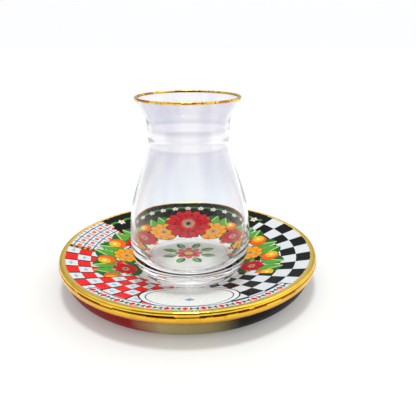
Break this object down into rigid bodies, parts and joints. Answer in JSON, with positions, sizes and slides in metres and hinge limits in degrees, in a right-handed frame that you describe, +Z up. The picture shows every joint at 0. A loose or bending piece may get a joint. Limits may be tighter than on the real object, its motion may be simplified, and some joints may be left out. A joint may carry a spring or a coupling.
{
  "type": "turkish tea glass",
  "caption": "Thin-waisted clear tea glass with a gilded lip, standing on a round ceramic saucer with a gilded edge.",
  "frame": {"origin": "middle of the saucer, on the surface that it stands on", "axes": "+Z up through the glass's mouth; -Y is the front, where the glass stands 11.8 mm forward of the saucer's middle and 0.9 mm to the right of it"},
  "size_m": [0.14, 0.14, 0.1007],
  "materials": {
    "clear_glass": "polished, with a gilded lip",
    "saucer_glaze": "glossy glaze with printed decor and a gilded edge"
  },
  "bodies": {
    "root": {"tea_glass": "clear_glass", "saucer": "saucer_glaze"}
  },
  "joints": []
}
